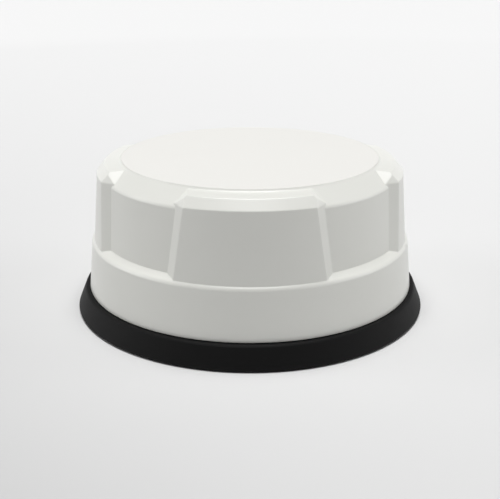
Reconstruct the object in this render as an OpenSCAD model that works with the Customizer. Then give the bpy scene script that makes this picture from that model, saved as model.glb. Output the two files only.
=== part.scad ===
// GNSS receiver for a survey pole: a padded radome on a black base, with the antenna stack,
// the boards and the battery inside. Millimetres, +Z up, front towards -Y, and the origin
// at the centre of the ring that it stands on.

/* [Shell] */
// Radius of the shell at its lower rim
rim_r = 72; // [71.5:0.1:72.5]
// Height of the lower rim above the ground
rim_z = 10; // [9.6:0.1:10.4]
// Radius at the top of the plain band
band_r = 69.9; // [69.5:0.1:70.3]
// Height of the top of the plain band
band_z = 31.25; // [30.5:0.25:32]
// Radius at the foot of the wall between two pads
hollow_foot_r = 66.1; // [65.6:0.1:66.6]
// Height of the foot of the wall between two pads
hollow_foot_z = 33.3; // [32.6:0.1:34]
// Radius at the top of the wall between two pads
hollow_top_r = 63.5; // [63:0.1:64]
// Height of the top of the wall between two pads
hollow_top_z = 59.7; // [59:0.1:60.4]
// Overall height of the receiver
top_z = 66.5; // [66:0.1:67]
// Wall thickness of the shell
shell_t = 2.6; // [2.2:0.1:2.8]

/* [Top disc] */
// Radius of the disc bonded into the crown
disc_r = 55.7; // [55:0.1:56]
// Thickness of the disc
disc_t = 1.2; // [1:0.1:1.3]
// Width of the fine groove round the disc
disc_gap = 0.3; // [0.2:0.1:0.4]

/* [Pads] */
// Radius at the foot of a pad's face
pad_foot_r = 68.9; // [68.5:0.1:69.3]
// Radius at the top of a pad's face
pad_brow_r = 66.4; // [66:0.1:66.8]
// Height of the top of a pad's face
pad_brow_z = 60.9; // [60.4:0.1:61.4]
// Radius where the pad's chamfer meets its top
pad_crown_r = 62.9; // [62.5:0.1:63.3]
// Height where the pad's chamfer meets its top
pad_crown_z = 64.8; // [64.5:0.1:65.1]
// Radius where the pad's top runs into the crown
pad_heel_r = 56.7; // [56.4:0.1:57]

/* [Base] */
// Radius of the bumper where it meets the ground
bumper_r = 77.5; // [77:0.1:78]
// Radius of the bumper at its shoulder
shoulder_r = 74.2; // [73.8:0.1:74.6]
// Height of the underside above the ground
under_z = 4; // [3.6:0.1:4.2]
// Thickness of the base's floor
floor_t = 3; // [2.6:0.1:3.2]

/* [Pole mount] */
// Radius of the bore for a 5/8 inch, 11 threads per inch pole stud
pole_bore_r = 7.94; // [7.9:0.01:8]
// Depth of that bore from the bearing face
pole_bore_depth = 20; // [18:0.5:20]
// Radius of the insert's bearing flange
pole_flange_r = 13; // [12.5:0.1:13.5]
// Height of the bearing face above the ground
pole_face_z = 0.5; // [0.3:0.1:0.8]

/* [Power button] */
// Radius of the button's cap
button_r = 5.5; // [5:0.1:5.8]
// Travel of the button, upwards into the base
button_travel = 0.8; // [0.6:0.1:0.8]

/* [Port cover] */
// Width of the cover over the charging port
cover_w = 22; // [20:0.5:22]
// Distance from the centre to the hinge of the cover
hinge_y = 52; // [51.8:0.1:52.2]
// Radius of the hinge pin
hinge_pin_r = 0.75; // [0.7:0.05:0.8]

/* [Battery] */
// Radius of a battery cell
cell_r = 9.2; // [9:0.1:9.2]
// Length of a battery cell
cell_len = 65.2; // [64:0.2:65.2]

/* [Boards and antenna] */
// Radius of the main board
board_r = 54; // [53.5:0.1:54.5]
// Thickness of the main board
board_t = 1.6; // [1.2:0.1:1.6]
// Side of the lower patch of the antenna
lower_patch_w = 64; // [60:1:64]
// Side of the upper patch of the antenna
upper_patch_w = 48; // [44:1:50]

/* [Hidden] */
$fn = 96;
EPS = 0.01;
BIG = 200;

// Each plane that trims a side of a pad: its direction in plan from the pad's centre line, its
// tilt above the horizontal and its distance from the origin.
PAD_PLANES = [[58.2, 8.1, 61.9], [57.5, 28, 76.5], [83, 49.4, 69.3]];
PAD_COUNT = 4;
pad_heel_z = top_z - (pad_heel_r - disc_r) * (top_z - hollow_top_z) / (hollow_top_r - disc_r);
disc_z = top_z - disc_t;

// Base and bumper
floor_z = under_z + floor_t;
lip_z = 2.4;
lip_r = 66;
flange_r = 70.9;
spigot_r = 68.5;
spigot_t = 2.3;
spigot_top_z = 16;
bumper_gap = 0.1;
shoulder_z = 9;
bumper_top_z = rim_z - 0.3;

// Seal between the base and the shell
seal_z = 12.7;
seal_wire_r = 0.85;
seal_r = 68.15;
groove_depth = 1.3;
groove_h = 2.2;

// Screws that hold the shell down, and the brass inserts that they turn in
SCREW_COUNT = 8;
screw_turn = 22.5;
screw_circle_r = 62;
screw_pad_z = 9;
shell_boss_r = 4;
shell_boss_top_z = 27;
insert_r = 2.1;
insert_len = 6;
insert_bore_r = 1.5;

// Pole insert and the hub round it
insert_body_r = 11;
insert_top_z = 23;
insert_flange_top_z = 3;
hub_r = 15;
hub_wall_top = 2.4;
mouth_chamfer = 0.8;

// Breather
vent_at = [-46, 14];
vent_r = 5.5;
vent_stem_r = 3.95;
vent_bore_r = 2.5;
vent_stem_top_z = 8.2;
membrane_t = 0.3;

// Power button, its board and its lights
button_y = -44;
button_gap = 0.3;
button_face_z = under_z - 0.5;
button_flange_z = floor_z + button_gap;
button_top_z = 8.2;
keypad_z = 11;
keypad_t = 1.2;
keypad_w = 24;
keypad_y = [-53, -24];
keypad_posts = [[-9.6, -38], [9.6, -38]];
LIGHT_COUNT = 4;
light_pitch = 6;
light_y = -30;
light_r = 1.2;
led_h = 0.7;

// Port bay and its hinged cover
bay_ceiling_z = 7.5;
bay_block_top_z = 10.3;
cover_t = 2.2;
cover_edge_y = 26;
cover_foot_y = 49.4;
cover_gap = 0.3;
hinge_z = 5.6;
barrel_r = 1.6;
barrel_w = 16;
ear_y = 50.5;
bay_end_y = 54.4;
seal_t = 1;
port_y = 40;
port_size = [8.94, 3.26];
port_mouth_z = 7.6;
port_board_z = 14.6;
port_board_t = 1.2;
port_posts = [[-8.6, 31], [8.6, 31]];

// Battery
cell_x = hub_r + 0.6 + cell_r;
cell_z = floor_z + 1 + cell_r;
cradle_top_z = 14;
pillar_at = 37.5;
pillar_r = 3.5;

// Frame, boards and modules
frame_z = cell_z + cell_r + 1;
frame_t = 2;
frame_r = 57.5;
frame_rim_t = 2;
frame_rim_h = 4;
slot_y = 50;
board_z = frame_z + frame_t + 4.6;
board_top_z = board_z + board_t;
standoff_circle_r = 46;
standoff_turn = 67.5;
standoff_r = 2.6;
spacer_circle_r = 50;
spacer_turn = 22.5;
spacer_r = 3;

// Antenna stack
plane_z = board_top_z + 8.4;
plane_t = 1.5;
plane_r = 56;
plane_rim_h = 4;
amplifier_r = 32;
amplifier_t = 1.6;
lower_patch_t = 6;
upper_patch_t = 5;
lower_patch_z = plane_z + plane_t;
upper_patch_z = lower_patch_z + lower_patch_t;
patch_top_z = upper_patch_z + upper_patch_t;
feed_pitch_r = 12;
feed_r = 0.65;

// Routes of the two round leads, from one plug to the other
lead_r = 0.7;
lead_start = [20, 0, plane_z - amplifier_t - 1];
lead_end = [42, -12, board_top_z + 1];
lead_bow = -3;
battery_lead_r = 1.3;
battery_lead_start = [24, 34.7, 18];
battery_lead_end = [29, 30, board_z - 2.4];
battery_lead_bow = 2;
lead_play = 0.03;

// One solid of revolution for the radome's body, drawn in by inset on every side.
module body_form(inset = 0) {
    foot_z = inset > 0 ? rim_z - 1 : rim_z;
    rotate_extrude()
        polygon([
            [0, foot_z],
            [rim_r - inset, foot_z],
            [rim_r - inset, rim_z],
            [band_r - inset, band_z - inset],
            [hollow_foot_r - inset, hollow_foot_z - inset],
            [hollow_top_r - inset, hollow_top_z - inset],
            [disc_r - inset, top_z - inset],
            [0, top_z - inset]
        ]);
}

// Everything beyond one trimming plane of a pad.
module beyond(plane, inset) {
    rotate([0, 90 - plane[1], plane[0]])
        translate([-BIG, -BIG, plane[2] - inset])
            cube([2 * BIG, 2 * BIG, BIG]);
}

// One pad facing +X: a revolved form trimmed by the planes on both of its sides.
module pad_form(inset = 0) {
    inner_x = 20;
    half_w = 45;
    difference() {
        intersection() {
            rotate_extrude()
                polygon([
                    [0, band_z - inset],
                    [pad_foot_r - inset, band_z - inset],
                    [pad_brow_r - inset, pad_brow_z - inset],
                    [pad_crown_r - inset, pad_crown_z - inset],
                    [pad_heel_r - inset, pad_heel_z - inset],
                    [0, pad_heel_z - inset]
                ]);
            translate([inner_x, -half_w, 0])
                cube([BIG, 2 * half_w, BIG]);
        }
        for (side = [0, 1])
            mirror([0, side, 0])
                for (plane = PAD_PLANES)
                    beyond(plane, inset);
    }
}

module pads(inset = 0) {
    for (k = [0 : PAD_COUNT - 1])
        rotate(k * 360 / PAD_COUNT)
            pad_form(inset);
}

module on_circle(count, radius, turn = 0) {
    for (k = [0 : count - 1])
        rotate(turn + k * 360 / count)
            translate([radius, 0, 0])
                children();
}

// A headed screw whose head stands on z = 0 with its shank below, or above when flipped.
module screw(shank_r, shank_len, head_r, head_h, drive_r = 1) {
    difference() {
        union() {
            cylinder(r = head_r, h = head_h);
            translate([0, 0, -shank_len])
                cylinder(r = shank_r, h = shank_len + EPS);
        }
        translate([0, 0, head_h / 2])
            cylinder(r = drive_r, h = head_h, $fn = 6);
    }
}

function arc_mix(a, b, t) = a + (b - a) * (1 - cos(180 * t)) / 2;

// A round lead that leaves its first end level, dips or climbs smoothly, and ends level.
module round_lead(start, end, radius, bow) {
    sides = 8;
    rings = 20;
    route = [for (i = [0 : rings])
        let (t = i / rings)
        [start[0] + (end[0] - start[0]) * t,
         start[1] + (end[1] - start[1]) * t + bow * sin(180 * t),
         arc_mix(start[2], end[2], t)]];
    points = [for (i = [0 : rings])
        let (ahead = route[min(i + 1, rings)] - route[max(i - 1, 0)],
             across = cross(ahead, [0, 0, 1]) / norm(cross(ahead, [0, 0, 1])),
             up = cross(across, ahead) / norm(cross(across, ahead)))
        for (k = [0 : sides - 1])
            route[i] + radius * (cos(360 * k / sides) * across + sin(360 * k / sides) * up)];
    skin = [for (i = [0 : rings - 1], k = [0 : sides - 1])
        let (a = i * sides + k, b = i * sides + (k + 1) % sides)
        [b, b + sides, a + sides, a]];
    first = [for (k = [sides - 1 : -1 : 0]) k];
    last = [for (k = [0 : sides - 1]) rings * sides + k];
    polyhedron(points, concat(skin, [first], [last]));
}

// Housing

module shell_bosses() {
    rib_t = 2.4;
    rib_foot_z = spigot_top_z + 0.6;
    on_circle(SCREW_COUNT, screw_circle_r, screw_turn) {
        difference() {
            union() {
                translate([0, 0, screw_pad_z + 0.2])
                    cylinder(r = shell_boss_r, h = shell_boss_top_z - screw_pad_z - 0.2);
                translate([0, -rib_t / 2, rib_foot_z])
                    cube([7, rib_t, shell_boss_top_z - rib_foot_z]);
            }
            translate([0, 0, screw_pad_z])
                cylinder(r = insert_r, h = insert_len + 0.2);
            translate([0, 0, screw_pad_z])
                cylinder(r = insert_bore_r + 0.2, h = 11);
        }
    }
}

module top_shell() {
    color("whitesmoke") {
        difference() {
            union() {
                body_form();
                pads();
            }
            body_form(shell_t);
            pads(shell_t);
            translate([0, 0, disc_z])
                cylinder(r = disc_r + disc_gap, h = disc_t + 1);
        }
        shell_bosses();
    }
}

module top_disc() {
    color("snow")
        translate([0, 0, disc_z])
            cylinder(r = disc_r, h = disc_t);
}

module shell_inserts() {
    color("goldenrod")
        on_circle(SCREW_COUNT, screw_circle_r, screw_turn)
            translate([0, 0, screw_pad_z + 0.2])
                difference() {
                    cylinder(r = insert_r, h = insert_len);
                    translate([0, 0, -1])
                        cylinder(r = insert_bore_r, h = insert_len + 2);
                }
}

module port_bay_block() {
    translate([-14, 22.5, under_z])
        cube([28, 35, bay_block_top_z - under_z]);
}

module port_bay_space() {
    half_w = cover_w / 2 + cover_gap;
    half_barrel = barrel_w / 2 + 0.4;
    depth = bay_ceiling_z - under_z + 1;
    translate([-half_w, cover_edge_y - 0.4, under_z - 1])
        cube([2 * half_w, ear_y - cover_edge_y + 0.4, depth]);
    translate([-half_barrel, ear_y - 1, under_z - 1])
        cube([2 * half_barrel, bay_end_y - ear_y + 1, depth]);
    translate([-11, hinge_y, hinge_z])
        rotate([0, 90, 0])
            cylinder(r = hinge_pin_r, h = 22);
    translate([0, cover_edge_y, under_z - 1])
        cylinder(r = 4.5, h = 2.8);
    translate([-port_size[0] / 2 - 0.4, port_y - port_size[1] / 2 - 0.4, bay_ceiling_z - 1])
        cube([port_size[0] + 0.8, port_size[1] + 0.8, 6]);
}

module base_walls() {
    rotate_extrude()
        polygon([
            [0, under_z],
            [lip_r, under_z],
            [lip_r, lip_z],
            [flange_r, lip_z],
            [flange_r, rim_z],
            [spigot_r, rim_z],
            [spigot_r, spigot_top_z],
            [spigot_r - spigot_t, spigot_top_z],
            [spigot_r - spigot_t, floor_z],
            [0, floor_z]
        ]);
    translate([0, 0, insert_flange_top_z])
        cylinder(r = hub_r, h = insert_top_z + hub_wall_top - insert_flange_top_z);
    on_circle(SCREW_COUNT, screw_circle_r, screw_turn)
        translate([0, 0, floor_z - EPS])
            cylinder(r = shell_boss_r, h = screw_pad_z - floor_z + EPS);
    on_circle(4, pillar_at * sqrt(2), 45)
        translate([0, 0, floor_z - EPS])
            cylinder(r = pillar_r, h = frame_z - floor_z + EPS);
    for (post = keypad_posts)
        translate([post[0], post[1], floor_z - EPS])
            cylinder(r = 2.2, h = keypad_z - floor_z + EPS);
    for (post = port_posts)
        translate([post[0], post[1], bay_block_top_z - EPS])
            cylinder(r = 2.2, h = port_board_z - bay_block_top_z + EPS);
    port_bay_block();
}

module base_housing() {
    color("dimgray")
        difference() {
            base_walls();
            port_bay_space();
            difference() {
                translate([0, 0, seal_z - groove_h / 2])
                    cylinder(r = spigot_r + 1, h = groove_h);
                translate([0, 0, seal_z - groove_h])
                    cylinder(r = spigot_r - groove_depth, h = 2 * groove_h);
            }
            translate([0, 0, insert_flange_top_z - 1])
                cylinder(r = insert_body_r + 0.05, h = insert_top_z - insert_flange_top_z + 1.1);
            on_circle(SCREW_COUNT, screw_circle_r, screw_turn) {
                translate([0, 0, under_z - 1])
                    cylinder(r = 1.7, h = 10);
                translate([0, 0, under_z - 1])
                    cylinder(r = 3.2, h = 3.6);
            }
            on_circle(4, pillar_at * sqrt(2), 45)
                translate([0, 0, frame_z - 10])
                    cylinder(r = 1.3, h = 11);
            for (post = keypad_posts)
                translate([post[0], post[1], floor_z])
                    cylinder(r = 0.9, h = 5);
            for (post = port_posts)
                translate([post[0], post[1], bay_block_top_z])
                    cylinder(r = 0.9, h = 5);
            translate([0, button_y, under_z - 1])
                cylinder(r = button_r + button_gap, h = floor_t + 2);
            for (k = [0 : LIGHT_COUNT - 1])
                translate([(k - (LIGHT_COUNT - 1) / 2) * light_pitch, light_y, under_z - 1])
                    cylinder(r = light_r + 0.05, h = floor_t + 2);
            translate([vent_at[0], vent_at[1], under_z - 1])
                cylinder(r = vent_stem_r + 0.05, h = floor_t + 2);
        }
}

module bumper_ring() {
    color([0.09, 0.09, 0.09])
        rotate_extrude()
            polygon([
                [lip_r, 0],
                [bumper_r - 0.8, 0],
                [bumper_r, 0.8],
                [shoulder_r, shoulder_z],
                [shoulder_r - 0.7, bumper_top_z],
                [flange_r + bumper_gap, bumper_top_z],
                [flange_r + bumper_gap, lip_z],
                [lip_r, lip_z]
            ]);
}

module housing_seal() {
    color("black")
        translate([0, 0, seal_z])
            rotate_extrude()
                translate([seal_r, 0])
                    circle(r = seal_wire_r, $fn = 32);
}

module housing_screws() {
    head_h = 2.4;
    color("silver")
        on_circle(SCREW_COUNT, screw_circle_r, screw_turn)
            translate([0, 0, under_z + 2.6])
                rotate([180, 0, 0])
                    screw(insert_bore_r - 0.02, 11, 2.8, head_h, 1.1);
}

module pole_insert() {
    bore_top_z = pole_face_z + pole_bore_depth;
    color("goldenrod")
        difference() {
            union() {
                translate([0, 0, pole_face_z])
                    cylinder(r = pole_flange_r, h = insert_flange_top_z - pole_face_z);
                translate([0, 0, insert_flange_top_z - EPS])
                    cylinder(r = insert_body_r, h = insert_top_z - insert_flange_top_z + EPS);
            }
            translate([0, 0, pole_face_z - 1])
                cylinder(r = pole_bore_r, h = bore_top_z - pole_face_z + 1);
            translate([0, 0, pole_face_z - EPS])
                cylinder(r1 = pole_bore_r + mouth_chamfer, r2 = pole_bore_r, h = mouth_chamfer);
        }
}

module vent_plug() {
    color("dimgray")
        translate([vent_at[0], vent_at[1], 0])
            difference() {
                union() {
                    translate([0, 0, under_z - 1.2])
                        cylinder(r = vent_r, h = 1.2);
                    translate([0, 0, under_z - EPS])
                        cylinder(r = vent_stem_r, h = vent_stem_top_z - under_z + EPS);
                }
                translate([0, 0, under_z])
                    cylinder(r = vent_bore_r, h = vent_stem_top_z);
                for (k = [0 : 2])
                    rotate(k * 60)
                        translate([-0.5, -vent_bore_r, 0])
                            cube([1, 2 * vent_bore_r, vent_stem_top_z]);
            }
}

module vent_membrane() {
    color("white")
        translate([vent_at[0], vent_at[1], vent_stem_top_z])
            cylinder(r = 3.4, h = membrane_t);
}

// Controls

module power_button() {
    color("firebrick")
        translate([0, button_y, 0])
            union() {
                translate([0, 0, button_face_z])
                    cylinder(r = button_r, h = button_flange_z - button_face_z + EPS);
                translate([0, 0, button_flange_z])
                    cylinder(r = button_r + 1.5, h = button_top_z - button_flange_z);
            }
}

module power_switch() {
    body = 6;
    color("dimgray")
        translate([0, button_y, 0]) {
            translate([-body / 2, -body / 2, keypad_z - 1.2])
                cube([body, body, 1.2]);
            translate([0, 0, button_top_z + button_travel + 0.3])
                cylinder(r = 1.7, h = keypad_z - 1.2 - button_top_z - button_travel - 0.3 + EPS);
        }
}

module keypad_board() {
    color("darkgreen")
        difference() {
            translate([-keypad_w / 2, keypad_y[0], keypad_z])
                cube([keypad_w, keypad_y[1] - keypad_y[0], keypad_t]);
            for (post = keypad_posts)
                translate([post[0], post[1], keypad_z - 1])
                    cylinder(r = 1.1, h = keypad_t + 2);
        }
}

module keypad_screws() {
    color("silver")
        for (post = keypad_posts)
            translate([post[0], post[1], keypad_z + keypad_t])
                screw(0.88, 4.5, 1.9, 1.3, 0.6);
}

module light_pipes() {
    color("lightcyan")
        for (k = [0 : LIGHT_COUNT - 1])
            translate([(k - (LIGHT_COUNT - 1) / 2) * light_pitch, light_y, under_z - 0.2])
                cylinder(r = light_r, h = keypad_z - led_h - 0.2 - under_z + 0.2);
}

module status_leds() {
    color("lightyellow")
        for (k = [0 : LIGHT_COUNT - 1])
            translate([(k - (LIGHT_COUNT - 1) / 2) * light_pitch - 0.8, light_y - 0.5, keypad_z - led_h])
                cube([1.6, 1, led_h]);
}

// Charging port and its cover

module port_cover() {
    color("dimgray")
        difference() {
            union() {
                translate([-cover_w / 2, cover_edge_y, under_z])
                    cube([cover_w, cover_foot_y - cover_edge_y, cover_t]);
                translate([-barrel_w / 2, cover_foot_y - 1, under_z])
                    cube([barrel_w, hinge_y - cover_foot_y + 1, cover_t]);
                translate([-barrel_w / 2, hinge_y, hinge_z])
                    rotate([0, 90, 0])
                        cylinder(r = barrel_r, h = barrel_w);
            }
            translate([-barrel_w, hinge_y, hinge_z])
                rotate([0, 90, 0])
                    cylinder(r = hinge_pin_r + 0.05, h = 2 * barrel_w);
        }
}

module port_seal() {
    outer = [15, 9];
    inner = [10.6, 4.8];
    color("black")
        translate([0, port_y, under_z + cover_t])
            difference() {
                translate([-outer[0] / 2, -outer[1] / 2, 0])
                    cube([outer[0], outer[1], seal_t]);
                translate([-inner[0] / 2, -inner[1] / 2, -1])
                    cube([inner[0], inner[1], seal_t + 2]);
            }
}

module cover_pin() {
    color("silver")
        translate([-10.8, hinge_y, hinge_z])
            rotate([0, 90, 0])
                cylinder(r = hinge_pin_r - 0.01, h = 21.6);
}

module charging_port() {
    well = [7.9, 2.3];
    tongue = [6.6, 0.7];
    color("silver")
        translate([0, port_y, 0]) {
            difference() {
                translate([-port_size[0] / 2, -port_size[1] / 2, port_mouth_z])
                    cube([port_size[0], port_size[1], port_board_z - port_mouth_z]);
                translate([-well[0] / 2, -well[1] / 2, port_mouth_z - 1])
                    cube([well[0], well[1], 6.2]);
            }
            translate([-tongue[0] / 2, -tongue[1] / 2, port_mouth_z + 0.8])
                cube([tongue[0], tongue[1], 5]);
        }
}

module port_board() {
    color("darkgreen")
        difference() {
            translate([-11, 27, port_board_z])
                cube([22, 26, port_board_t]);
            for (post = port_posts)
                translate([post[0], post[1], port_board_z - 1])
                    cylinder(r = 1.1, h = port_board_t + 2);
        }
}

module port_screws() {
    color("silver")
        for (post = port_posts)
            translate([post[0], post[1], port_board_z + port_board_t])
                screw(0.88, 4.5, 1.9, 1.3, 0.6);
}

// Battery

module battery_cells() {
    cap_r = 3.2;
    color("steelblue")
        for (side = [-1, 1])
            translate([side * cell_x, cell_len / 2, cell_z])
                rotate([90, 0, 0]) {
                    cylinder(r = cell_r, h = cell_len - 0.6);
                    translate([0, 0, -0.6])
                        cylinder(r = cap_r, h = 0.6 + EPS);
                }
}

module battery_cradle() {
    trough_w = 20;
    inner_x = hub_r + 0.2;
    bar_y = 17;
    color("dimgray") {
        difference() {
            for (side = [0, 1])
                mirror([side, 0, 0])
                    translate([inner_x, -cell_len / 2, floor_z])
                        cube([trough_w, cell_len, cradle_top_z - floor_z]);
            for (side = [-1, 1])
                translate([side * cell_x, cell_len, cell_z])
                    rotate([90, 0, 0])
                        cylinder(r = cell_r + 0.05, h = 2 * cell_len);
        }
        for (side = [0, 1])
            mirror([0, side, 0])
                translate([-inner_x - 0.5, bar_y, floor_z])
                    cube([2 * inner_x + 1, 3, 2.6]);
    }
}

module cell_link() {
    color("silver")
        translate([-cell_x - 4, -cell_len / 2 - 0.1, cell_z - 3])
            cube([2 * cell_x + 8, 0.3, 6]);
}

module battery_pads() {
    color("darkslategray")
        for (side = [-1, 1])
            translate([side * cell_x - 4, -25, cell_z + cell_r])
                cube([8, 50, 1]);
}

module battery_lead() {
    color("red")
        round_lead(battery_lead_start, battery_lead_end, battery_lead_r, battery_lead_bow);
}

// The lead ends inside the plug, in a socket that follows it.
module battery_plug() {
    color("ivory")
        difference() {
            translate([battery_lead_end[0] - 3, battery_lead_end[1] - 3, board_z - 4.2])
                cube([6, 5, 4.2]);
            round_lead(battery_lead_start, battery_lead_end, battery_lead_r + lead_play,
                battery_lead_bow);
        }
}

// Frame and boards

module mid_frame() {
    color("lightgray")
        difference() {
            union() {
                translate([0, 0, frame_z])
                    cylinder(r = frame_r, h = frame_t);
                difference() {
                    translate([0, 0, frame_z])
                        cylinder(r = frame_r, h = frame_rim_h);
                    translate([0, 0, frame_z - 1])
                        cylinder(r = frame_r - frame_rim_t, h = frame_rim_h + 2);
                }
            }
            translate([0, 0, frame_z - 1])
                cylinder(r = 9, h = frame_t + 2);
            on_circle(4, pillar_at * sqrt(2), 45)
                translate([0, 0, frame_z - 1])
                    cylinder(r = 1.6, h = frame_t + 2);
            on_circle(2, slot_y, 90)
                translate([-2, -6, frame_z - 1])
                    cube([4, 12, frame_t + 2]);
            translate([27, 33.4, frame_z - 1])
                cylinder(r = 4, h = frame_t + 2);
        }
}

module frame_screws() {
    color("silver")
        on_circle(4, pillar_at * sqrt(2), 45)
            translate([0, 0, frame_z + frame_t])
                screw(1.28, 8, 2.3, 1.8);
}

module board_standoffs() {
    color("gold")
        on_circle(4, standoff_circle_r, standoff_turn)
            translate([0, 0, frame_z + frame_t])
                difference() {
                    cylinder(r = standoff_r, h = board_z - frame_z - frame_t, $fn = 6);
                    translate([0, 0, -1])
                        cylinder(r = 1.1, h = board_z - frame_z);
                }
}

module main_board() {
    color("darkgreen")
        difference() {
            translate([0, 0, board_z])
                cylinder(r = board_r, h = board_t);
            on_circle(4, standoff_circle_r, standoff_turn)
                translate([0, 0, board_z - 1])
                    cylinder(r = 1.3, h = board_t + 2);
            on_circle(4, spacer_circle_r, spacer_turn)
                translate([0, 0, board_z - 1])
                    cylinder(r = spacer_r + 0.4, h = board_t + 2);
        }
}

module board_screws() {
    color("silver")
        on_circle(4, standoff_circle_r, standoff_turn)
            translate([0, 0, board_top_z])
                screw(1.08, board_t + 3.4, 2.2, 1.5, 0.8);
}

module gnss_module() {
    color("silver")
        translate([-15, -36, board_top_z])
            cube([30, 24, 2.8]);
}

module wireless_module() {
    color("silver")
        translate([-34, -6, board_top_z])
            cube([26, 20, 2.6]);
}

module power_shield() {
    color("silver")
        translate([4, 8, board_top_z])
            cube([24, 26, 3.4]);
}

module wireless_antenna() {
    color("ivory")
        translate([-50, -4, board_top_z])
            cube([5, 12, 1.4]);
}

// A flat flexible cable at the front, from the board below up to the main board. It runs in
// the plane x = 0 and is width wide.
module flat_cable(low_z, width) {
    run_y = -slot_y;
    start_y = run_y + 4;
    end_z = board_z - 0.7;
    cable_t = 0.3;
    translate([-width / 2, 0, 0])
        rotate([90, 0, 90])
            linear_extrude(height = width)
                polygon([
                    [start_y, low_z],
                    [run_y, low_z],
                    [run_y, end_z],
                    [start_y, end_z],
                    [start_y, end_z - cable_t],
                    [run_y + cable_t, end_z - cable_t],
                    [run_y + cable_t, low_z + cable_t],
                    [start_y, low_z + cable_t]
                ]);
}

module keypad_ribbon() {
    color("peru")
        flat_cable(keypad_z + keypad_t, 8);
}

module port_ribbon() {
    color("peru")
        rotate(180)
            flat_cable(port_board_z + port_board_t, 8);
}

module ribbon_sockets() {
    color("ivory")
        for (turn = [0, 180])
            rotate(turn)
                translate([-5, -slot_y + 4, board_z - 2])
                    cube([10, 3.5, 2]);
}

// Antenna stack

module antenna_spacers() {
    spacer_foot_z = frame_z + frame_t;
    color("gold")
        on_circle(4, spacer_circle_r, spacer_turn)
            translate([0, 0, spacer_foot_z])
                difference() {
                    cylinder(r = spacer_r, h = plane_z - spacer_foot_z, $fn = 6);
                    translate([0, 0, plane_z - spacer_foot_z - 8])
                        cylinder(r = 1.5, h = 10);
                }
}

module antenna_screws() {
    color("silver")
        on_circle(4, spacer_circle_r, spacer_turn)
            translate([0, 0, plane_z + plane_t])
                screw(1.48, 7, 2.8, 2);
}

module ground_plane() {
    color("lightgray")
        difference() {
            translate([0, 0, plane_z])
                cylinder(r = plane_r, h = plane_rim_h);
            translate([0, 0, plane_z + plane_t])
                cylinder(r = plane_r - plane_t, h = plane_rim_h);
            on_circle(4, spacer_circle_r, spacer_turn)
                translate([0, 0, plane_z - 1])
                    cylinder(r = 1.6, h = plane_t + 2);
            feed_holes(plane_z - 1, plane_t + 2);
        }
}

module feed_holes(low_z, height) {
    on_circle(4, feed_pitch_r)
        translate([0, 0, low_z])
            cylinder(r = feed_r + 0.1, h = height);
    translate([0, 0, low_z])
        cylinder(r = 1.6, h = height);
}

module amplifier_board() {
    color("darkgreen")
        difference() {
            translate([0, 0, plane_z - amplifier_t])
                cylinder(r = amplifier_r, h = amplifier_t);
            feed_holes(plane_z - amplifier_t - 1, amplifier_t + 2);
        }
}

module patch(width, low_z, height) {
    difference() {
        translate([-width / 2, -width / 2, low_z])
            cube([width, width, height]);
        feed_holes(low_z - 1, height + 2);
    }
}

module lower_patch() {
    color("tan")
        patch(lower_patch_w, lower_patch_z, lower_patch_t);
}

module upper_patch() {
    color("burlywood")
        patch(upper_patch_w, upper_patch_z, upper_patch_t);
}

module patch_screw() {
    color("white")
        translate([0, 0, patch_top_z])
            screw(1.5, patch_top_z - plane_z + amplifier_t, 3, 1.6);
}

module feed_pins() {
    color("gold")
        on_circle(4, feed_pitch_r)
            translate([0, 0, plane_z - amplifier_t - 0.8])
                cylinder(r = feed_r, h = patch_top_z - plane_z + amplifier_t + 1.2);
}

module antenna_lead() {
    color("saddlebrown")
        round_lead(lead_start, lead_end, lead_r, lead_bow);
}

module lead_plugs() {
    color("gold")
        difference() {
            for (place = [lead_start, lead_end])
                translate([place[0], place[1], place[2] - 1])
                    cylinder(r = 1.6, h = 2);
            round_lead(lead_start, lead_end, lead_r + lead_play, lead_bow);
        }
}

top_shell();
top_disc();
shell_inserts();
base_housing();
bumper_ring();
housing_seal();
housing_screws();
pole_insert();
vent_plug();
vent_membrane();
power_button();
power_switch();
keypad_board();
keypad_screws();
light_pipes();
status_leds();
port_cover();
port_seal();
cover_pin();
charging_port();
port_board();
port_screws();
battery_cells();
battery_cradle();
cell_link();
battery_pads();
battery_lead();
battery_plug();
mid_frame();
frame_screws();
board_standoffs();
main_board();
board_screws();
gnss_module();
wireless_module();
power_shield();
wireless_antenna();
keypad_ribbon();
port_ribbon();
ribbon_sockets();
antenna_spacers();
antenna_screws();
ground_plane();
amplifier_board();
lower_patch();
upper_patch();
patch_screw();
feed_pins();
antenna_lead();
lead_plugs();
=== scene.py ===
"""The looks of a GNSS receiver for a survey pole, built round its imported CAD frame."""

import logging
import math
from dataclasses import dataclass
from enum import Enum
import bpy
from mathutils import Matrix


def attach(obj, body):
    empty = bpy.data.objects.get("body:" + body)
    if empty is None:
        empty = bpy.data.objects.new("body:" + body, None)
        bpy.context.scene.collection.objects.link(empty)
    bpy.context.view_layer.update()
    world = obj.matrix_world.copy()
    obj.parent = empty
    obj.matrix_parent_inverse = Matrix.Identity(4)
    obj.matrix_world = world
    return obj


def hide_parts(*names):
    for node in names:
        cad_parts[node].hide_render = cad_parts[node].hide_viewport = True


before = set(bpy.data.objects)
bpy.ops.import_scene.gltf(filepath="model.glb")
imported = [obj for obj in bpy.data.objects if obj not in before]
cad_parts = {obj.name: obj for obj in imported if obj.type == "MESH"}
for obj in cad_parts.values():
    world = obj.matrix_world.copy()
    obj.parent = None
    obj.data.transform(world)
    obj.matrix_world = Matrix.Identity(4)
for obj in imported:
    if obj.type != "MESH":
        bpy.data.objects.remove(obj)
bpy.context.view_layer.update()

from types import MappingProxyType
from typing import Iterable, List, Mapping, Sequence, Tuple, Union

import bpy
import numpy as np
from mathutils import Matrix, Vector

LOG = logging.getLogger("receiver")
MM = 0.001
BODY = "receiver"
SHARP_ANGLE = math.radians(38)

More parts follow.
